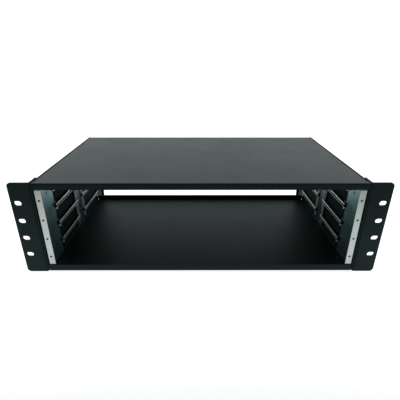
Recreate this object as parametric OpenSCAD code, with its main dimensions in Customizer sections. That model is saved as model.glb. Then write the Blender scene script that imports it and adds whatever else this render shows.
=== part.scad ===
// Card cage for a 19-inch rack, three units high, open at the front and at the rear.
// A folded chassis and a cover carry zinc-plated brackets, and the brackets carry card guides.
// X runs across the rack, Y from front to rear and Z up; the origin is under the middle.

/* [Rack] */
// Overall width over the two rack ears
rack_w = 482.6; // [470:0.1:500]
// Height of the rack ears
rack_h = 132.5; // [120:0.1:160]
// Reach of each ear beyond the side wall
ear_w = 29.1; // [26:0.1:33]
// Distance from the ear's outer edge to the middle of a slot
slot_edge = 8.75; // [8:0.05:10]
// Distance from one ear slot up to the next
slot_pitch = 25.4; // [20:0.1:30]
// End-to-end length of an ear slot
slot_len = 9.6; // [8:0.1:12]
// Width of an ear slot
slot_w = 6.5; // [5:0.1:7.5]
// Sheet thickness of an ear
ear_t = 2; // [1.5:0.1:2.5]
// Depth of the ear's flange along the side wall
ear_flange = 20; // [17:0.5:30]
// Radius of the ear's outer corners
ear_corner_r = 5; // [2:0.5:8]

/* [Chassis] */
// Outside depth of the chassis
body_d = 244; // [236:1:320]
// Height of the ears above the top of the chassis
body_drop = 0.9; // [0:0.1:1.4]
// Sheet thickness of the chassis
body_t = 1.5; // [1:0.1:1.8]
// Height of the chassis lips at the front and the rear
tray_lip_h = 10.8; // [8:0.1:11]
// Width of the rear flanges, from the outside of the side walls
rear_flange_w = 14.4; // [12:0.1:24]
// Inside radius of the chassis and cover bends
bend_r = 1; // [0.5:0.1:1.2]

/* [Cover] */
// Sheet thickness of the cover
cover_t = 1.2; // [0.8:0.1:1.5]
// Height of the lips and flanges folded down around the cover
cover_lip_h = 8.8; // [8:0.1:9.2]
// Gap between the cover and each side wall
cover_gap = 0.25; // [0.1:0.05:0.6]

/* [Brackets] */
// Sheet thickness of the brackets
bracket_t = 1.2; // [0.8:0.1:1.5]
// Inside radius of the bracket bends
bracket_r = 0.8; // [0.4:0.1:1]
// Width of the front bracket's facing flange
face_flange = 9.7; // [9:0.1:14]
// Length of the front brackets along the side wall
front_bracket_l = 50; // [46:0.1:60]
// Rise of the small lugs beside each guide, from the front bracket's plate
lug_rise = 2; // [1.5:0.1:3.5]
// Height of a lug
lug_h = 1.5; // [1:0.1:2]
// Gap between a guide and the lugs beside it
lug_gap = 0.75; // [0.2:0.05:1]
// Distance from the front of the chassis to the middle brackets
mid_bracket_y = 122; // [110:1:130]
// Length of the middle brackets along the side wall
mid_bracket_l = 30; // [28:0.5:40]
// Width of the middle bracket's notched flanges, from the side wall
guide_flange = 5; // [4:0.1:6]
// Width of the rear bracket's flange
rear_bracket_w = 8; // [7:0.1:11]
// Length of the rear brackets along the side wall
rear_bracket_l = 8; // [7:0.5:16]

/* [Card levels] */
// Distance from the front lip up to the lowest panel hole
first_hole_rise = 12.7; // [11:0.1:16]
// Distance from the highest panel hole up to the cover's lip
last_hole_drop = 15.3; // [12:0.1:18]
// Distance from the side wall to the front panel holes
panel_hole_in = 5.4; // [4.6:0.1:6.5]
// Diameter of a front panel hole, threaded M2.5
panel_hole_d = 2.5; // [2:0.1:3]

/* [Card guides] */
// Sheet thickness of a guide
guide_t = 1; // [0.6:0.1:1.2]
// Outside height of a guide
guide_h = 4.9; // [4.4:0.1:5.6]
// Depth of a guide, from its back to its open side
guide_depth = 3.9; // [3:0.1:5]
// Length of a front guide that lies on the front bracket's plate
guide_lap = 3.4; // [2:0.1:6]
// Length by which a guide passes through the middle bracket's flange
tail_l = 2; // [1:0.1:4]

/* [Fasteners] */
// Shank diameter of the ear screws
ear_screw_d = 4; // [3:0.5:5]
// Distance from one ear screw up to the next
ear_screw_pitch = 38.1; // [30:0.1:42]
// Shank diameter of the cover screws
cover_screw_d = 3; // [2.5:0.5:3]
// Distance between the cover screws along the side
cover_screw_pitch = 82; // [60:1:100]
// Shank diameter of the bracket rivets
rivet_d = 2.4; // [2:0.1:2.6]
// Distance between the two rivets of a pair
rivet_gap = 5; // [4.8:0.1:6]
// Distance from the rear end of the front brackets to their rivets
rivet_in = 18.5; // [10:0.5:24]

/* [Hidden] */

$fn = 32;
cut = 1;                 // how far a cutting tool passes beyond what it cuts
fit = 0.05;              // radial clearance of a screw or rivet in its hole
slide = 0.1;             // clearance round a guide in its notch
relief = 0.5;            // gap left where two folded edges meet
lap = 0.1;               // overlap where a lug joins its plate
tip = 1;                 // length by which a screw passes its last sheet
levels = 4;

// Shape of the fasteners, as multiples of the shank diameter
head_ratio = 1.9;
face_ratio = 1.25;
head_rise_ratio = 0.55;
socket_ratio = 0.65;
socket_sink_ratio = 0.35;
rivet_head_ratio = 1.8;
rivet_rise_ratio = 0.3;
collar_ratio = 1.2;
collar_rise_ratio = 0.12;
rivet_bore_ratio = 0.75;
nut_ratio = 1.9;
nut_rise_ratio = 0.8;

// Places along the depth
front_y = -body_d / 2;
back_y = body_d / 2;
bracket_front_y = front_y + cover_t;
bracket_bend = bracket_t + bracket_r;
front_bracket_end = bracket_front_y + front_bracket_l;
front_plate_end = front_bracket_end - bracket_bend;
mid_front_y = front_y + mid_bracket_y;
mid_end = mid_front_y + mid_bracket_l;
rear_bracket_end = back_y - body_t;

// Places across the cage, on the right-hand side
ear_out = rack_w / 2;
slot_x = ear_out - slot_edge;
wall_out = ear_out - ear_w;
wall_in = wall_out - body_t;
plate_in = wall_in - bracket_t;
cover_out = wall_in - cover_gap;
guide_open = plate_in - guide_depth;
panel_hole_x = wall_in - panel_hole_in;

// Heights
mid_z = rack_h / 2;
body_h = rack_h - body_drop;
lip_top = tray_lip_h;
cover_lip_z = body_h - cover_lip_h;
flange_z0 = lip_top + relief;
flange_z1 = cover_lip_z - 3 * relief;
plate_z0 = body_t + bend_r + slide;
plate_z1 = cover_lip_z - relief;
cover_screw_z = body_h - cover_lip_h / 2 - cover_t / 2;
first_hole_z = lip_top + first_hole_rise;
level_pitch = (cover_lip_z - last_hole_drop - first_hole_z) / (levels - 1);
level_z = [for (i = [0 : levels - 1]) first_hole_z + i * level_pitch];

// Places of the fasteners
ear_screw_y = front_y + ear_flange / 2;
ear_screw_z = [for (i = [-1 : 1]) mid_z + i * ear_screw_pitch];
cover_screw_y = [for (i = [-1 : 1]) i * cover_screw_pitch];
front_rivet_y = front_bracket_end - rivet_in;
mid_rivet_y = mid_front_y + mid_bracket_l / 2;
rear_rivet_y = rear_bracket_end - rear_bracket_l / 2 - bracket_t / 2;
rivet_places = concat(
    [for (z = level_z) for (s = [-1, 1]) [front_rivet_y, z + s * rivet_gap / 2]],
    [for (z = level_z) for (s = [-1, 1]) [mid_rivet_y, z + s * rivet_gap / 2]],
    [for (z = level_z) [rear_rivet_y, z - rivet_gap]]
);

black = [0.11, 0.12, 0.13];
zinc = [0.72, 0.76, 0.78];
bright = [0.80, 0.81, 0.80];

// ---- Folded sheet --------------------------------------------------------------------------

// A quarter of a ring: the section of one bend
module bend(t, r, turn) {
    intersection() {
        difference() {
            circle(r + t);
            circle(r);
        }
        translate([0, turn > 0 ? -(r + t) : 0]) square(r + t);
    }
}

// Section of a folded sheet. It starts at the origin along +X with the sheet on its left.
// legs holds the outside length of each leg; turns holds 1 for a left bend and -1 for a right one.
module fold(legs, turns, t, r, i = 0) {
    bends = (i > 0 ? 1 : 0) + (i < len(turns) ? 1 : 0);
    flat = legs[i] - bends * (r + t);
    square([flat, t]);
    if (i < len(turns)) {
        if (turns[i] > 0) {
            translate([flat, t + r]) bend(t, r, 1);
            translate([flat + r + t, t + r]) rotate(90) fold(legs, turns, t, r, i + 1);
        } else {
            translate([flat, -r]) bend(t, r, -1);
            translate([flat + r, -r]) rotate(-90) fold(legs, turns, t, r, i + 1);
        }
    }
}

// Sheet whose section lies in XZ, reaching from y0 to y1
module along_y(y0, y1) {
    translate([0, y1, 0]) rotate([90, 0, 0]) linear_extrude(y1 - y0) children();
}

// Sheet whose section lies in YZ, reaching from x0 to x1
module along_x(x0, x1) {
    translate([x0, 0, 0]) rotate([90, 0, 90]) linear_extrude(x1 - x0) children();
}

// Sheet whose section lies in XY, reaching from z0 to z1
module along_z(z0, z1) {
    translate([0, 0, z0]) linear_extrude(z1 - z0) children();
}

// Box given by its lowest and highest corners
module block(low, high) {
    translate(low) cube(high - low);
}

// Round bar or bore along X, from x0 to x1
module bar_x(x0, x1, y, z, d) {
    translate([x0, y, z]) rotate([0, 90, 0]) cylinder(h = x1 - x0, d = d);
}

module mirrored(side) {
    mirror([side < 0 ? 1 : 0, 0, 0]) children();
}

// ---- Chassis -------------------------------------------------------------------------------

// Holes for the screws and rivets of one side, from x0 to x1
module side_holes(x0, x1) {
    for (z = ear_screw_z) bar_x(x0, x1, ear_screw_y, z, ear_screw_d + 2 * fit);
    for (p = rivet_places) bar_x(x0, x1, p[0], p[1], rivet_d + 2 * fit);
}

module cover_screw_holes(x0, x1) {
    for (y = cover_screw_y) bar_x(x0, x1, y, cover_screw_z, cover_screw_d + 2 * fit);
}

// Rear edge of the right-hand wall, folded inwards between the lips
module rear_flange() {
    run = 2 * (bend_r + body_t);
    along_z(lip_top + relief, cover_lip_z - relief)
        translate([wall_out, back_y - run]) rotate(90)
            fold([run, rear_flange_w], [1], body_t, bend_r);
}

module chassis() {
    corner = bend_r + body_t;
    color(black) difference() {
        union() {
            along_y(front_y + corner, back_y - corner)
                translate([-wall_out, body_h]) rotate(-90)
                    fold([body_h, 2 * wall_out, body_h], [1, 1], body_t, bend_r);
            for (side = [-1, 1]) mirrored(side) {
                block([wall_in, front_y, corner], [wall_out, back_y - corner, body_h]);
                block([wall_in, front_y, corner], [wall_out, back_y, lip_top]);
                block([wall_in, front_y, cover_lip_z], [wall_out, back_y, body_h]);
                rear_flange();
            }
            for (end = [0, 1]) mirror([0, end, 0])
                along_x(-wall_in + relief, wall_in - relief)
                    translate([front_y, lip_top]) rotate(-90)
                        fold([lip_top, 2 * corner], [1], body_t, bend_r);
        }
        for (side = [-1, 1]) mirrored(side) {
            side_holes(wall_in - cut, wall_out + cut);
            cover_screw_holes(wall_in - cut, wall_out + cut);
        }
    }
}

// ---- Cover ---------------------------------------------------------------------------------

module top_cover() {
    corner = bend_r + cover_t;
    side_notch = 3 * corner;
    color(black) difference() {
        union() {
            along_x(-cover_out, cover_out)
                translate([back_y, cover_lip_z]) rotate(90)
                    fold([cover_lip_h, body_d, cover_lip_h], [1, 1], cover_t, bend_r);
            along_y(front_y + side_notch, back_y - side_notch)
                translate([cover_out, cover_lip_z]) rotate(90)
                    fold([cover_lip_h, 2 * cover_out, cover_lip_h], [1, 1], cover_t, bend_r);
        }
        for (side = [-1, 1]) mirrored(side) {
            cover_screw_holes(cover_out - cover_t - cut, cover_out + cut);
            // the plate's square edge beside the side bends
            difference() {
                block([cover_out - corner, front_y + side_notch, body_h - corner],
                      [cover_out + cut, back_y - side_notch, body_h + cut]);
                bar_y(front_y, back_y, cover_out - corner, body_h - corner, 2 * corner);
            }
        }
    }
}

// Round bar along Y, from y0 to y1
module bar_y(y0, y1, x, z, d) {
    translate([x, y1, z]) rotate([90, 0, 0]) cylinder(h = y1 - y0, d = d);
}

// ---- Rack ears -----------------------------------------------------------------------------

// Outline of an ear seen from the front, with its two outer corners rounded
module ear_outline() {
    difference() {
        translate([wall_out, 0]) square([ear_w, rack_h]);
        for (top = [0, 1]) translate([0, top * rack_h]) mirror([0, top])
            translate([ear_out - ear_corner_r, 0]) difference() {
                translate([0, -cut]) square([ear_corner_r + cut, ear_corner_r + cut]);
                translate([0, ear_corner_r]) circle(ear_corner_r);
            }
    }
}

// Slot with round ends, cut through the ear
module ear_slot(z) {
    run = slot_len - slot_w;
    translate([slot_x, 0, z]) {
        for (end = [-1, 1]) bar_y(front_y - cut, front_y + ear_t + cut, end * run / 2, 0, slot_w);
        block([-run / 2, front_y - cut, -slot_w / 2], [run / 2, front_y + ear_t + cut, slot_w / 2]);
    }
}

module rack_ear(side) {
    color(black) mirrored(side) difference() {
        intersection() {
            along_z(0, rack_h) translate([wall_out, front_y + ear_flange]) rotate(-90)
                fold([ear_flange, ear_w], [1], ear_t, bend_r);
            along_y(front_y - cut, front_y + ear_flange + cut) ear_outline();
        }
        for (z = ear_screw_z)
            bar_x(wall_out - cut, wall_out + ear_t + cut, ear_screw_y, z, ear_screw_d + 2 * fit);
        for (i = [-1.5 : 1 : 1.5]) ear_slot(mid_z + i * slot_pitch);
    }
}

// ---- Brackets ------------------------------------------------------------------------------

// Notches where the guides pass through a flange that reaches from y0 to y1
module guide_notches(y0, y1) {
    half = guide_h / 2 + slide;
    beyond = bracket_r + slide;
    for (z = level_z) block([guide_open - cut, y0 - beyond, z - half],
                            [plate_in, y1 + beyond, z + half]);
}

// Plate of a bracket on the right-hand wall, standing between the floor and the cover's flange
module bracket_plate(y0, y1) {
    block([plate_in, y0, plate_z0], [wall_in, y1, plate_z1]);
}

// Lugs folded in from the rear edge of the front bracket's plate, above and below each guide
module guide_lugs() {
    width = bracket_t + lug_rise;
    from_guide = guide_h / 2 + lug_gap;
    for (z = level_z) for (side = [-1, 1]) translate([0, 0, z]) mirror([0, 0, side < 0 ? 1 : 0])
        along_z(from_guide, from_guide + lug_h)
            translate([wall_in - width, front_bracket_end - bracket_t])
                fold([width, bracket_bend + lap], [-1], bracket_t, bracket_r);
}

module front_bracket(side) {
    color(zinc) mirrored(side) difference() {
        union() {
            along_z(flange_z0, flange_z1)
                translate([plate_in, front_plate_end]) rotate(-90)
                    fold([front_plate_end - bracket_front_y, face_flange], [-1], bracket_t, bracket_r);
            bracket_plate(bracket_front_y + bracket_bend, front_plate_end);
            guide_lugs();
        }
        side_holes(plate_in - cut, wall_in + cut);
        for (z = level_z)
            bar_y(bracket_front_y - cut, bracket_front_y + bracket_t + cut,
                  panel_hole_x, z, panel_hole_d);
    }
}

module mid_bracket(side) {
    color(zinc) mirrored(side) difference() {
        union() {
            along_z(flange_z0, flange_z1)
                translate([wall_in - guide_flange, mid_end - bracket_t])
                    fold([guide_flange, mid_bracket_l, guide_flange], [-1, -1], bracket_t, bracket_r);
            bracket_plate(mid_front_y + bracket_bend, mid_end - bracket_bend);
        }
        guide_notches(mid_front_y, mid_front_y + bracket_t);
        guide_notches(mid_end - bracket_t, mid_end);
        side_holes(plate_in - cut, wall_in + cut);
    }
}

module rear_bracket(side) {
    color(zinc) mirrored(side) difference() {
        along_z(flange_z0, flange_z1)
            translate([wall_in - rear_bracket_w, rear_bracket_end - bracket_t])
                fold([rear_bracket_w, rear_bracket_l], [-1], bracket_t, bracket_r);
        side_holes(plate_in - cut, wall_in + cut);
    }
}

// ---- Card guides ---------------------------------------------------------------------------

// Guide on the right-hand side: a channel from y0 to y1, open towards the middle of the cage
module guide_channel(y0, y1, z) {
    along_y(y0, y1) translate([guide_open, z + guide_h / 2 - guide_t])
        fold([guide_depth, guide_h, guide_depth], [-1, -1], guide_t, guide_t / 2);
}

module front_guide(side, level) {
    color(bright) mirrored(side)
        guide_channel(front_plate_end - guide_lap, mid_front_y + bracket_t + tail_l, level_z[level]);
}

module rear_guide(side, level) {
    color(bright) mirrored(side)
        guide_channel(mid_end - bracket_t - tail_l, rear_bracket_end - bracket_bend, level_z[level]);
}

// ---- Fasteners -----------------------------------------------------------------------------

// Button-head screw along X with its head seated at x = seat and its tip at x = end
module screw(seat, end, y, z, d) {
    head = head_rise_ratio * d;
    difference() {
        union() {
            bar_x(end, seat + fit, y, z, d);
            bar_x(seat, seat + head / 2, y, z, head_ratio * d);
            translate([seat + head / 2, y, z]) rotate([0, 90, 0])
                cylinder(h = head / 2, d1 = head_ratio * d, d2 = face_ratio * d);
        }
        translate([seat + head - socket_sink_ratio * d, y, z]) rotate([0, 90, 0])
            cylinder(h = head, d = socket_ratio * d, $fn = 6);
    }
}

module ear_screws(side) {
    color(black) mirrored(side)
        for (z = ear_screw_z)
            screw(wall_out + ear_t, plate_in - tip, ear_screw_y, z, ear_screw_d);
}

module cover_screws(side) {
    color(black) mirrored(side)
        for (y = cover_screw_y)
            screw(wall_out, cover_out - cover_t - tip, y, cover_screw_z, cover_screw_d);
}

// Blind rivet: a head outside the wall and a hollow collar inside the bracket
module rivet(y, z) {
    collar = collar_rise_ratio * rivet_d;
    difference() {
        union() {
            bar_x(plate_in - collar, wall_out + fit, y, z, rivet_d);
            bar_x(plate_in - collar, plate_in, y, z, collar_ratio * rivet_d);
            translate([wall_out, y, z]) rotate([0, 90, 0])
                cylinder(h = rivet_rise_ratio * rivet_d, d1 = rivet_head_ratio * rivet_d, d2 = rivet_d);
        }
        bar_x(plate_in - cut, wall_in, y, z, rivet_bore_ratio * rivet_d);
    }
}

module bracket_rivets(side) {
    color(bright) mirrored(side)
        for (p = rivet_places) rivet(p[0], p[1]);
}

// Clinch nuts behind the front bracket's facing flange
module panel_nuts(side) {
    back = bracket_front_y + bracket_t;
    end = back + nut_rise_ratio * panel_hole_d;
    color(bright) mirrored(side)
        for (z = level_z) difference() {
            bar_y(back, end, panel_hole_x, z, nut_ratio * panel_hole_d);
            bar_y(back - cut, end + cut, panel_hole_x, z, panel_hole_d);
        }
}

// ---- Nodes ---------------------------------------------------------------------------------

chassis();
top_cover();
for (side = [-1, 1]) {
    hand = side < 0 ? "left" : "right";
    rack_ear(side);
    front_bracket(side);
    mid_bracket(side);
    rear_bracket(side);
    ear_screws(side);
    cover_screws(side);
    bracket_rivets(side);
    panel_nuts(side);
    for (i = [1 : levels]) {
        front_guide(side, i - 1);
        rear_guide(side, i - 1);
    }
}
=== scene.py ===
"""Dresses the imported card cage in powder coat, zinc plate and dark steel, on a lit floor with a camera.

Every length is in metres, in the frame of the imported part: X across, Y to the rear, Z up.
"""

from __future__ import annotations

import logging
import math
from dataclasses import dataclass, field
from enum import Enum
from typing import Any, Sequence

import bpy
from mathutils import Matrix, Vector

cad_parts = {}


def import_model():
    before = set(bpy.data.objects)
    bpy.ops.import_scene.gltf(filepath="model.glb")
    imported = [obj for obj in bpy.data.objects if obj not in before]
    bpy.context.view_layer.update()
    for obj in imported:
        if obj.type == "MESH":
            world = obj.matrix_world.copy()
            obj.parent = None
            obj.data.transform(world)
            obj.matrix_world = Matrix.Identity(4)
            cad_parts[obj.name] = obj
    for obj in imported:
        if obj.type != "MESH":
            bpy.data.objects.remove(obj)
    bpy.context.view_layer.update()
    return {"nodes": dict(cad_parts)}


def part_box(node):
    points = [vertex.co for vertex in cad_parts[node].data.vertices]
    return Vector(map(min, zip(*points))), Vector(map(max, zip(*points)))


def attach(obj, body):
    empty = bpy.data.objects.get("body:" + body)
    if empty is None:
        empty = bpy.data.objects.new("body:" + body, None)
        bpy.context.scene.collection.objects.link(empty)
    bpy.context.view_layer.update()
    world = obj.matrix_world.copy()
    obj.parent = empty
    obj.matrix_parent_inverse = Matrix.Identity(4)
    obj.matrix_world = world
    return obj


LOG = logging.getLogger("card_cage")
MM = 0.001
LEVELS = range(1, 5)

Colour = tuple[float, float, float]


class Side(Enum):
    """The two mirrored sides of the cage; the value is the sign of X."""

    LEFT = -1
    RIGHT = 1

    @property
    def hand(self) -> str:
        """The word that the side's nodes start with."""
        return self.name.lower()


# ---- Shader maths --------------------------------------------------------------------------------


class Value:
    """A number that varies over a surface: wraps an output socket, so that maths reads as Python."""

    def __init__(self, graph: "Graph", socket: bpy.types.NodeSocket) -> None:
        """Wraps one socket.

        Args:
            graph: the node graph that the socket belongs to.
            socket: the output socket that carries the number.
        """
        self.graph = graph
        self.socket = socket

    def _with(self, operation: str, *others: "Value | float", clamp: bool = False) -> "Value":
        """Adds one Math node fed by this value and the others.

        Args:
            operation: the Math node's operation.
            others: the values or numbers of the node's other inputs.
            clamp: keeps the result from 0 to 1.

        Returns:
            The node's result.
        """
        return self.graph.maths(operation, self, *others, clamp=clamp)

    def __add__(self, other: "Value | float") -> "Value":
        """This plus other."""
        return self._with("ADD", other)

    __radd__ = __add__

    def __mul__(self, other: "Value | float") -> "Value":
        """This times other."""
        return self._with("MULTIPLY", other)

    __rmul__ = __mul__

    def __sub__(self, other: "Value | float") -> "Value":
        """This less other."""
        return self._with("SUBTRACT", other)

    def __rsub__(self, other: float) -> "Value":
        """Other less this."""
        return self.graph.maths("SUBTRACT", other, self)

    def __truediv__(self, other: "Value | float") -> "Value":
        """This over other."""
        return self._with("DIVIDE", other)

    def __pow__(self, power: float) -> "Value":
        """This to a power."""
        return self._with("POWER", power)

    def __abs__(self) -> "Value":
        """The size of this, without its sign."""
        return self._with("ABSOLUTE")

    def band(self, low: float, high: float) -> "Value":
        """This stretched so that low becomes 0 and high becomes 1, and held between them."""
        return ((self - low) / (high - low)).held()

    def held(self) -> "Value":
        """This kept from 0 to 1."""
        return self._with("ADD", 0.0, clamp=True)

    def most(self, other: "Value | float") -> "Value":
        """The larger of this and other."""
        return self._with("MAXIMUM", other)


class Graph:
    """The nodes of one material, built from Python expressions."""

    def __init__(self, name: str) -> None:
        """Starts a material with a Principled shader.

        Args:
            name: the material's name.
        """
        self.material = bpy.data.materials.new(name)
        self.material.use_nodes = True
        self.tree = self.material.node_tree
        self.tree.nodes.clear()
        self.shader = self.node("ShaderNodeBsdfPrincipled")
        out = self.node("ShaderNodeOutputMaterial")
        self.tree.links.new(self.shader.outputs["BSDF"], out.inputs["Surface"])

    def node(
        self, kind: str, settings: dict[str, Any] | None = None, inputs: dict[Any, Any] | None = None
    ) -> bpy.types.Node:
        """Adds any node.

        Args:
            kind: the node's type.
            settings: the node's own properties.
            inputs: values or links by the name or number of the input.

        Returns:
            The new node.
        """
        node = self.tree.nodes.new(kind)
        for key, value in (settings or {}).items():
            setattr(node, key, value)
        for key, value in (inputs or {}).items():
            self.feed(node.inputs[key], value)
        return node

    def feed(self, socket: bpy.types.NodeSocket, value: Any) -> None:
        """Links or sets one input.

        Args:
            socket: the input.
            value: a Value, an output socket, a colour, a vector or a number.
        """
        if isinstance(value, Value):
            self.tree.links.new(value.socket, socket)
        elif isinstance(value, bpy.types.NodeSocket):
            self.tree.links.new(value, socket)
        elif socket.type == "RGBA" and len(value) == 3:
            socket.default_value = (*value, 1.0)
        else:
            socket.default_value = value

    def maths(self, operation: str, *values: "Value | float", clamp: bool = False) -> Value:
        """Adds a Math node.

        Args:
            operation: the node's operation.
            values: its inputs in order.
            clamp: keeps the result from 0 to 1.

        Returns:
            The node's result.
        """
        settings = {"operation": operation, "use_clamp": clamp}
        return Value(self, self.node("ShaderNodeMath", settings, dict(enumerate(values))).outputs[0])

    def place(self) -> bpy.types.NodeSocket:
        """The point on the surface in the part's own frame."""
        return self.node("ShaderNodeTexCoord").outputs["Object"]

    def axes(self) -> tuple[Value, Value, Value]:
        """The point's X, Y and Z."""
        split = self.node("ShaderNodeSeparateXYZ", inputs={0: self.place()})
        return tuple(Value(self, output) for output in split.outputs)

    def facing(self) -> tuple[Value, Value, Value]:
        """The X, Y and Z of the surface's true normal."""
        normal = self.node("ShaderNodeNewGeometry").outputs["True Normal"]
        split = self.node("ShaderNodeSeparateXYZ", inputs={0: normal})
        return tuple(Value(self, output) for output in split.outputs)

    def noise(
        self, scale: float, detail: float = 2.0, stretch: Sequence[float] = (1, 1, 1), turn: float = 0.0
    ) -> Value:
        """Smooth noise from 0 to 1.

        Args:
            scale: how many waves fit in a metre.
            detail: how many finer octaves are added.
            stretch: how much the pattern is squeezed along each axis.
            turn: a number that moves the pattern, so that two of them differ.

        Returns:
            The noise.
        """
        mapped = self.node(
            "ShaderNodeMapping",
            inputs={"Vector": self.place(), "Scale": stretch, "Location": (turn, turn, turn)},
        )
        made = self.node(
            "ShaderNodeTexNoise",
            inputs={"Vector": mapped.outputs[0], "Scale": scale, "Detail": detail, "Roughness": 0.55},
        )
        return Value(self, made.outputs[0])

    def cells(self, scale: float) -> Value:
        """Distance from the nearest of many scattered points, in cell widths."""
        made = self.node("ShaderNodeTexVoronoi", inputs={"Vector": self.place(), "Scale": scale})
        return Value(self, made.outputs["Distance"])

    def mix(self, share: "Value | float", first: Any, second: Any) -> bpy.types.NodeSocket:
        """A colour between two colours.

        Args:
            share: 0 gives the first colour and 1 the second.
            first: a colour or a colour socket.
            second: a colour or a colour socket.

        Returns:
            The mixed colour.
        """
        node = self.node("ShaderNodeMix", {"data_type": "RGBA"}, {0: share, 6: first, 7: second})
        return node.outputs[2]

    def bump(self, height: Value, depth: float, strength: float = 1.0) -> bpy.types.NodeSocket:
        """A normal that follows a height.

        Args:
            height: the height, from 0 to 1.
            depth: what a height of 1 stands for, in metres.
            strength: how much of the effect is used.

        Returns:
            The normal.
        """
        node = self.node("ShaderNodeBump", inputs={"Height": height, "Distance": depth, "Strength": strength})
        return node.outputs[0]

    def finish(self, **inputs: Any) -> bpy.types.Material:
        """Sets the shader's inputs and hands over the material.

        Args:
            inputs: the shader's inputs by name, with _ for each space.

        Returns:
            The finished material.
        """
        for name, value in inputs.items():
            self.feed(self.shader.inputs[name.replace("_", " ")], value)
        return self.material


# ---- Finishes ------------------------------------------------------------------------------------


@dataclass(frozen=True)
class PowderCoat:
    """Fine-textured black powder coat on folded steel, with a little dust where it lies flat."""

    name: str = "black_powder_coat"
    deep: Colour = (0.0034, 0.0060, 0.0063)
    light: Colour = (0.0056, 0.0086, 0.0090)
    dust: Colour = (0.030, 0.034, 0.034)
    gloss_tint: Colour = (0.50, 1.0, 1.0)
    grain: float = 1500.0
    grain_depth: float = 0.00006
    grain_strength: float = 0.6
    patch: float = 14.0
    speck: float = 900.0
    speck_share: float = 0.10
    drift: float = 30.0
    dust_share: float = 0.10
    roughness: float = 0.45
    side_roughness: float = 0.45
    floor_roughness: float = 0.06
    floor_top: float = 4 * MM
    specular: float = 0.14

    def material(self) -> bpy.types.Material:
        """Builds the material."""
        g = Graph(self.name)
        grain = g.noise(self.grain)
        patches = g.noise(self.patch, 3.0, turn=3.1)
        across, _, up = g.facing()
        lying = up.band(0.5, 1.0)
        standing = abs(across).band(0.5, 1.0)
        inside = lying * (1 - g.axes()[2].band(self.floor_top, self.floor_top + 2 * MM))
        specks = 1 - g.cells(self.speck).band(0.0, 0.16)
        drifts = g.noise(self.drift, 5.0, turn=7.7).band(0.45, 0.8)
        settled = (lying * drifts * self.dust_share).held()
        shade = patches.band(0.3, 0.7) * 0.5 + grain.band(0.35, 0.75) * 0.5
        coat = g.mix(shade, self.deep, self.light)
        coat = g.mix(settled + specks * lying * self.speck_share, coat, self.dust)
        rough = self.roughness + (grain - 0.5) * 0.10 + (patches - 0.5) * 0.08 + settled * 0.5
        rough = rough + standing * self.side_roughness + inside * self.floor_roughness
        return g.finish(
            Base_Color=coat,
            Roughness=rough.held(),
            Specular_IOR_Level=self.specular,
            Specular_Tint=self.gloss_tint,
            Normal=g.bump(grain, self.grain_depth, self.grain_strength),
        )


@dataclass(frozen=True)
class Zinc:
    """Zinc plate with a blue passivation; the faces that lie along the side walls are darker, which is
    painted shade.
    """

    name: str = "zinc_plate"
    blue: Colour = (0.370, 0.425, 0.420)
    warm: Colour = (0.420, 0.445, 0.410)
    dull: Colour = (0.340, 0.375, 0.365)
    # Painted shade: the dark colour of the faces along the side walls.
    side: Colour = (0.105, 0.205, 0.210)
    roughness: float = 0.24
    side_roughness: float = 0.16
    metallic: float = 1.0
    tint: float = 55.0
    bloom: float = 160.0
    bloom_share: float = 0.45
    rolling: float = 2600.0
    lines: tuple[float, float, float] = (1.0, 1.0, 0.06)
    line_depth: float = 0.000012
    line_strength: float = 0.4

    def painted_shade(self, g: Graph) -> Value:
        """Where painted shade lies: 1 on the faces along the walls."""
        return abs(g.facing()[0]).band(0.6, 0.95)

    def with_dark_spots(self, g: Graph, colour: bpy.types.NodeSocket) -> bpy.types.NodeSocket:
        """The colour with any dark spots on top; a plain sheet has none."""
        return colour

    def normal(self, g: Graph, rolled: Value) -> bpy.types.NodeSocket:
        """The fine lines that rolling left."""
        return g.bump(rolled, self.line_depth, self.line_strength)

    def material(self) -> bpy.types.Material:
        """Builds the material."""
        g = Graph(self.name)
        tint = g.noise(self.tint, 2.0, (1, 1, 0.6), 1.3)
        bloom = g.noise(self.bloom, 4.0, turn=5.0)
        rolled = g.noise(self.rolling, 2.0, self.lines)
        painted_shade = self.painted_shade(g)
        colour = g.mix(tint.band(0.35, 0.68), self.blue, self.warm)
        colour = g.mix(bloom.band(0.5, 0.8) * self.bloom_share, colour, self.dull)
        # Painted shade: the faces along the side walls take the dark side colour.
        colour = g.mix(painted_shade, colour, self.side)
        rough = self.roughness + (bloom - 0.5) * 0.08 + (rolled - 0.5) * 0.04
        return g.finish(
            Base_Color=self.with_dark_spots(g, colour),
            Metallic=self.metallic,
            Roughness=rough + painted_shade * self.side_roughness,
            Normal=self.normal(g, rolled),
        )


@dataclass(frozen=True)
class Rows:
    """The evenly spaced levels that the panel holes, rivets and guides stand on."""

    first: float = 23.5 * MM
    pitch: float = 28.0 * MM

    def above(self, g: Graph) -> Value:
        """How far a point is above the level nearest to it."""
        start = self.first - self.pitch / 2
        return g.maths("FLOORED_MODULO", g.axes()[2] - start, self.pitch) - self.pitch / 2


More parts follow.
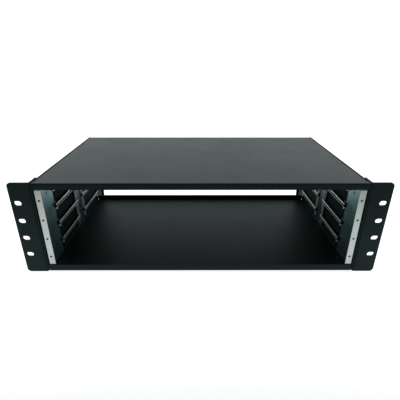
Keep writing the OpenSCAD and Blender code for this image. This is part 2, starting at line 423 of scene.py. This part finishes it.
@dataclass(frozen=True)
class StripPlate(Zinc):
    """The front brackets' zinc, with painted shade as a dark ring round the punched holes, and darker round
    the rivets.
    """

    name: str = "strip_plate"
    # The colour of the painted shade round the holes and of the darker patch round each rivet.
    mark: Colour = (0.012, 0.022, 0.023)
    rows: Rows = Rows()
    hole_x: float = 205.3 * MM
    hole_r: float = 1.25 * MM
    rivet_y: float = -89.3 * MM
    rivet_gap: float = 5.0 * MM
    rivet_dark: float = 420.0
    rivet_dark_r: float = 2.7 * MM
    smudge_reach: float = 1.6 * MM
    smudge_share: float = 0.85

    def with_dark_spots(self, g: Graph, colour: bpy.types.NodeSocket) -> bpy.types.NodeSocket:
        """The colour with painted shade as a dark ring round each hole, and darker round each rivet."""
        across, along, _ = g.axes()
        level = self.rows.above(g)
        on_side = self.painted_shade(g)
        from_hole = ((abs(across) - self.hole_x) ** 2 + level * level) ** 0.5
        # Painted shade: a dark ring just outside each punched hole, on the faces not along the walls.
        painted_hole_shade = 1 - from_hole.band(self.hole_r + 0.15 * MM, self.hole_r + 0.45 * MM)
        # Darker round each rivet, with a ragged edge, on the faces along the walls.
        from_rivet = ((along - self.rivet_y) ** 2 + (abs(level) - self.rivet_gap / 2) ** 2) ** 0.5
        ragged = from_rivet + (g.noise(self.rivet_dark, 3.0, turn=9.0) - 0.5) * self.smudge_reach
        rivet_dark = 1 - ragged.band(0.6 * self.rivet_dark_r, self.rivet_dark_r)
        share = (painted_hole_shade * (1 - on_side)).most(rivet_dark * on_side * self.smudge_share)
        return g.mix(share, colour, self.mark)


@dataclass(frozen=True)
class GuidePlate(Zinc):
    """The guides' zinc: light on the rims, which the bump rounds over; painted shade darkens the channel and
    most of the lower rim.
    """

    name: str = "guide_plate"
    blue: Colour = (0.80, 0.96, 0.95)
    warm: Colour = (0.90, 0.98, 0.95)
    dull: Colour = (0.72, 0.86, 0.85)
    # Painted shade: the dark colour of the channel and of most of the lower rim.
    side: Colour = (0.022, 0.034, 0.036)
    roughness: float = 0.42
    side_roughness: float = -0.08
    lines: tuple[float, float, float] = (1.0, 0.04, 1.0)
    rows: Rows = Rows()
    open_edge: float = 205.6 * MM
    rim_depth: float = 0.5 * MM
    rim_line: float = 1.95 * MM
    rim_round: float = 0.8 * MM
    lower_share: float = 0.25

    def painted_shade(self, g: Graph) -> Value:
        """Where painted shade darkens the plate: all but the rims, and most of the lower rim."""
        deep = abs(g.axes()[0]).band(self.open_edge + self.rim_depth / 2, self.open_edge + self.rim_depth)
        below = 1 - self.rows.above(g).band(-0.1 * MM, 0.1 * MM)
        return deep.most(below * (1 - self.lower_share))

    def normal(self, g: Graph, rolled: Value) -> bpy.types.NodeSocket:
        """Rounds the rims over, as a rolled edge is."""
        off = abs(self.rows.above(g)) - self.rim_line
        return g.bump(off * off * (-0.5 / self.rim_round), 1.0)


class Plated(Enum):
    """The other plated and dark steel sheets and fasteners of the cage; some of them carry painted light and
    shade, as said at each.
    """

    # Painted shade: the mid brackets' faces along the side walls are near black.
    INNER = Zinc(
        name="inner_plate",
        blue=(0.86, 0.96, 0.95),
        warm=(0.92, 0.97, 0.94),
        dull=(0.76, 0.86, 0.85),
        side=(0.006, 0.042, 0.044),
        roughness=0.55,
        side_roughness=-0.13,
        metallic=0.6,
    )
    # Painted light: the rear brackets are the same zinc made near white and mostly diffuse, so that they look
    # lit.
    BACK = Zinc(
        name="back_plate",
        blue=(0.90, 0.97, 0.95),
        warm=(0.93, 0.98, 0.94),
        dull=(0.82, 0.90, 0.88),
        side=(0.50, 0.60, 0.58),
        roughness=0.75,
        side_roughness=0.0,
        metallic=0.1,
    )
    LUG_TIP = Zinc(
        name="lug_tip",
        blue=(0.93, 0.97, 0.96),
        warm=(0.95, 0.96, 0.93),
        dull=(0.85, 0.90, 0.89),
        side=(0.80, 0.85, 0.85),
        roughness=0.36,
        side_roughness=0.0,
        metallic=0.75,
    )
    # Painted shade: the clinch nuts, zinc plated like the brackets, are near black so that the holes through
    # them look dark.
    NUT = Zinc(
        name="nut_plate",
        blue=(0.012, 0.014, 0.014),
        warm=(0.014, 0.014, 0.013),
        dull=(0.010, 0.012, 0.012),
        roughness=0.40,
    )
    RIVET = Zinc(
        name="rivet_steel",
        blue=(0.09, 0.10, 0.10),
        warm=(0.12, 0.12, 0.11),
        dull=(0.06, 0.07, 0.07),
        roughness=0.42,
    )


@dataclass(frozen=True)
class DarkSteel:
    """Black oxidised screws, rubbed bright in scattered patches."""

    name: str = "black_screw"
    black: Colour = (0.022, 0.023, 0.024)
    rubbed: Colour = (0.12, 0.12, 0.12)
    roughness: float = 0.32
    wear: float = 700.0
    scratch: float = 900.0
    scratch_depth: float = 0.00001

    def material(self) -> bpy.types.Material:
        """Builds the material."""
        g = Graph(self.name)
        wear = g.noise(self.wear, 3.0)
        scratch = g.noise(self.scratch, 2.0, (0.2, 1, 1), 2.0)
        return g.finish(
            Base_Color=g.mix(wear.band(0.6, 0.85) * 0.5, self.black, self.rubbed),
            Metallic=wear.band(0.55, 0.8),
            Roughness=self.roughness + (scratch - 0.5) * 0.2,
            Normal=g.bump(scratch, self.scratch_depth),
        )


@dataclass(frozen=True)
class StudioFloor:
    """White light table: it glows under and behind the cage, and fades towards the front."""

    name: str = "studio_floor"
    pale: Colour = (0.50, 0.505, 0.505)
    glow: Colour = (0.84, 0.84, 0.84)
    faded: Colour = (0.03, 0.03, 0.03)
    fade_from: float = -0.15
    fade_to: float = -0.44
    half: float = 3.0
    gap: float = 0.2 * MM

    def material(self) -> bpy.types.Material:
        """Builds the material."""
        g = Graph(self.name)
        _, along, _ = g.axes()
        return g.finish(
            Base_Color=g.mix(g.noise(6.0), self.pale, tuple(0.985 * c for c in self.pale)),
            Roughness=0.8,
            Emission_Color=g.mix(along.band(self.fade_to, self.fade_from), self.faded, self.glow),
            Emission_Strength=1.0,
        )


# ---- Sub-assemblies ------------------------------------------------------------------------------


def dress(nodes: dict[str, bpy.types.Object], names: Sequence[str], material: bpy.types.Material) -> None:
    """Gives CAD nodes a material.

    Args:
        nodes: the CAD nodes by name.
        names: the nodes to dress.
        material: the material that fills their slots.
    """
    for name in names:
        slots = nodes[name].material_slots
        if not slots:
            nodes[name].data.materials.append(material)
        for slot in slots:
            slot.material = material
        LOG.info("dressed %s with %s", name, material.name)


@dataclass
class Sheets:
    """The black folded sheets: chassis, cover and rack ears."""

    finish: PowderCoat = field(default_factory=PowderCoat)

    def build(self, nodes: dict[str, bpy.types.Object]) -> None:
        """Dresses the black sheets."""
        ears = [f"{side.hand}_rack_ear" for side in Side]
        dress(nodes, ["chassis", "top_cover", *ears], self.finish.material())


@dataclass
class Brackets:
    """The zinc-plated brackets and card guides."""

    strip: StripPlate = field(default_factory=StripPlate)

    def guide(self) -> GuidePlate:
        """The guides' finish, fitted to where their rims and levels are."""
        low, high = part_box("right_front_guide_1")
        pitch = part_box("right_front_guide_2")[0][2] - low[2]
        return GuidePlate(rows=Rows((low[2] + high[2]) / 2, pitch), open_edge=low[0])

    def build(self, nodes: dict[str, bpy.types.Object]) -> None:
        """Dresses the brackets and the guides."""
        finishes = {"front": self.strip, "mid": Plated.INNER.value, "rear": Plated.BACK.value}
        for place, finish in finishes.items():
            dress(nodes, [f"{side.hand}_{place}_bracket" for side in Side], finish.material())
        guides = [
            f"{side.hand}_{place}_guide_{level}"
            for side in Side
            for place in ("front", "rear")
            for level in LEVELS
        ]
        dress(nodes, guides, self.guide().material())


@dataclass
class LugTips:
    """Crowned tips of the lugs that hold the front guides from below."""

    width: float = 2.6 * MM
    depth: float = 1.8 * MM
    height: float = 1.8 * MM
    border: float = 0.5 * MM
    crown: float = 0.35 * MM
    rounding: float = 0.275 * MM
    inset: float = 2.3 * MM
    setback: float = 1.0 * MM
    drop: float = 2.9 * MM

    def tip(self) -> bpy.types.Object:
        """Models one tip at the origin.

        Returns:
            The tip: a block with a raised crown on its front face and all edges rounded.
        """
        bpy.ops.object.select_all(action="DESELECT")
        bpy.ops.mesh.primitive_cube_add(size=1.0, location=(0, 0, 0))
        tip = bpy.context.active_object
        tip.scale = (self.width, self.depth, self.height)
        bpy.ops.object.transform_apply(location=False, rotation=False, scale=True)
        bpy.ops.object.mode_set(mode="EDIT")
        bpy.ops.mesh.select_mode(type="FACE")
        bpy.ops.mesh.select_all(action="DESELECT")
        bpy.ops.object.mode_set(mode="OBJECT")
        for face in tip.data.polygons:
            face.select = face.normal.y < -0.9
        bpy.ops.object.mode_set(mode="EDIT")
        bpy.ops.mesh.inset(thickness=self.border)
        bpy.ops.transform.translate(value=(0, -self.crown, 0))
        bpy.ops.mesh.select_all(action="SELECT")
        bpy.ops.mesh.bevel(offset=self.rounding, segments=2, affect="EDGES")
        bpy.ops.object.mode_set(mode="OBJECT")
        bpy.ops.object.shade_smooth_by_angle(angle=math.radians(50))
        return tip

    def place(self, side: Side, level: int) -> tuple[float, float, float]:
        """Where a tip's middle goes.

        Args:
            side: the side of the cage.
            level: the number of the guide, from 1 at the bottom.

        Returns:
            The point under the front end of that guide.
        """
        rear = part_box(f"{side.hand}_front_bracket")[1][1]
        low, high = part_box(f"{side.hand}_front_guide_{level}")
        open_edge = min(abs(low[0]), abs(high[0]))
        return side.value * (open_edge + self.inset), rear - self.setback, low[2] - self.drop

    def copies(self, tip: bpy.types.Object, side: Side) -> bpy.types.Object:
        """Copies the tip to every level of one side.

        Args:
            tip: the tip at the origin.
            side: the side of the cage.

        Returns:
            The tips of that side as one piece.
        """
        bpy.ops.object.select_all(action="DESELECT")
        for level in LEVELS:
            copy = tip.copy()
            copy.data = tip.data.copy()
            copy.data.transform(Matrix.Translation(self.place(side, level)))
            bpy.context.scene.collection.objects.link(copy)
            copy.select_set(True)
            if level == LEVELS[0]:
                bpy.context.view_layer.objects.active = copy
        bpy.ops.object.join()
        piece = bpy.context.active_object
        piece.name = piece.data.name = f"{side.hand}_lug_tips"
        return piece

    def build(self, nodes: dict[str, bpy.types.Object]) -> None:
        """Models the tips of both sides."""
        tip = self.tip()
        material = Plated.LUG_TIP.value.material()
        for side in Side:
            piece = self.copies(tip, side)
            piece.data.materials.clear()
            piece.data.materials.append(material)
            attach(piece, "root")
            LOG.info("modelled %s", piece.name)
        bpy.data.objects.remove(tip)


@dataclass
class Fasteners:
    """Screws, rivets and clinch nuts."""

    screw: DarkSteel = field(default_factory=DarkSteel)

    def build(self, nodes: dict[str, bpy.types.Object]) -> None:
        """Dresses the fasteners."""
        screws = [f"{side.hand}_{kind}_screws" for side in Side for kind in ("ear", "cover")]
        dress(nodes, screws, self.screw.material())
        dress(nodes, [f"{side.hand}_bracket_rivets" for side in Side], Plated.RIVET.value.material())
        dress(nodes, [f"{side.hand}_panel_nuts" for side in Side], Plated.NUT.value.material())


# ---- Studio --------------------------------------------------------------------------------------


@dataclass(frozen=True)
class Softbox:
    """A soft rectangular lamp."""

    name: str
    place: tuple[float, float, float]
    aim: tuple[float, float, float]
    size: tuple[float, float]
    power: float
    colour: Colour = (1.0, 1.0, 1.0)

    def build(self) -> None:
        """Adds the lamp."""
        data = bpy.data.lights.new(self.name, "AREA")
        data.shape = "RECTANGLE"
        data.size, data.size_y = self.size
        data.energy = self.power
        data.color = self.colour
        lamp = bpy.data.objects.new(self.name, data)
        bpy.context.scene.collection.objects.link(lamp)
        lamp.location = self.place
        lamp.rotation_euler = (Vector(self.aim) - Vector(self.place)).to_track_quat("-Z", "Y").to_euler()


@dataclass
class Studio:
    """Floor, world, lamp and camera."""

    lens: float = 29.44
    camera_place: tuple[float, float, float] = (-0.00165, -0.49934, 0.27931)
    camera_turn: tuple[float, float, float] = (65.738, -0.026, -0.113)
    sky: float = 0.22
    sky_behind: float = 1.32
    sky_turn: tuple[float, float] = (-0.5, 0.6)
    floor: StudioFloor = field(default_factory=StudioFloor)
    lamp: Softbox = Softbox("top_lamp", (0.0, 0.35, 1.5), (0.0, 0.1, 0.0), (2.4, 1.8), 20.0)

    def build(self) -> None:
        """Adds the whole studio."""
        bpy.context.scene.view_settings.view_transform = "Standard"
        self.add_floor()
        self.add_sky()
        self.lamp.build()
        self.add_camera()

    def add_floor(self) -> None:
        """Adds the floor as a wide flat sheet just under the cage."""
        bpy.ops.object.select_all(action="DESELECT")
        bpy.ops.mesh.primitive_plane_add(size=2 * self.floor.half, location=(0, 0, -self.floor.gap))
        floor = bpy.context.active_object
        floor.name = "floor"
        bpy.ops.object.mode_set(mode="EDIT")
        bpy.ops.mesh.subdivide(number_cuts=8)
        bpy.ops.object.mode_set(mode="OBJECT")
        bpy.ops.object.transform_apply(location=True, rotation=True, scale=True)
        floor.data.materials.append(self.floor.material())

    def add_sky(self) -> None:
        """Lights the world: pale all round, and bright behind the cage."""
        world = bpy.data.worlds.new("studio")
        bpy.context.scene.world = world
        world.use_nodes = True
        tree = world.node_tree
        tree.nodes.clear()
        way = tree.nodes.new("ShaderNodeTexCoord")
        split = tree.nodes.new("ShaderNodeSeparateXYZ")
        tree.links.new(way.outputs["Generated"], split.inputs[0])
        ramp = tree.nodes.new("ShaderNodeMapRange")
        ramp.interpolation_type = "SMOOTHSTEP"
        ramp.inputs["From Min"].default_value, ramp.inputs["From Max"].default_value = self.sky_turn
        ramp.inputs["To Min"].default_value = self.sky
        ramp.inputs["To Max"].default_value = self.sky_behind
        tree.links.new(split.outputs["Y"], ramp.inputs["Value"])
        light = tree.nodes.new("ShaderNodeBackground")
        light.inputs["Color"].default_value = (0.98, 1.0, 1.0, 1.0)
        tree.links.new(ramp.outputs["Result"], light.inputs["Strength"])
        out = tree.nodes.new("ShaderNodeOutputWorld")
        tree.links.new(light.outputs[0], out.inputs["Surface"])

    def add_camera(self) -> None:
        """Adds the camera."""
        data = bpy.data.cameras.new("camera")
        data.lens = self.lens
        data.sensor_width = 36.0
        data.clip_start = 0.01
        camera = bpy.data.objects.new("camera", data)
        bpy.context.scene.collection.objects.link(camera)
        camera.location = self.camera_place
        camera.rotation_euler = [math.radians(a) for a in self.camera_turn]
        bpy.context.scene.camera = camera


def main() -> None:
    """Builds everything in order."""
    logging.basicConfig(level=logging.INFO, format="%(name)s: %(message)s")
    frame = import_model()
    nodes = frame["nodes"]
    for assembly in (Sheets(), Brackets(), LugTips(), Fasteners()):
        assembly.build(nodes)
        LOG.info("built %s", type(assembly).__name__)
    Studio().build()


if __name__ == "__main__":
    main()
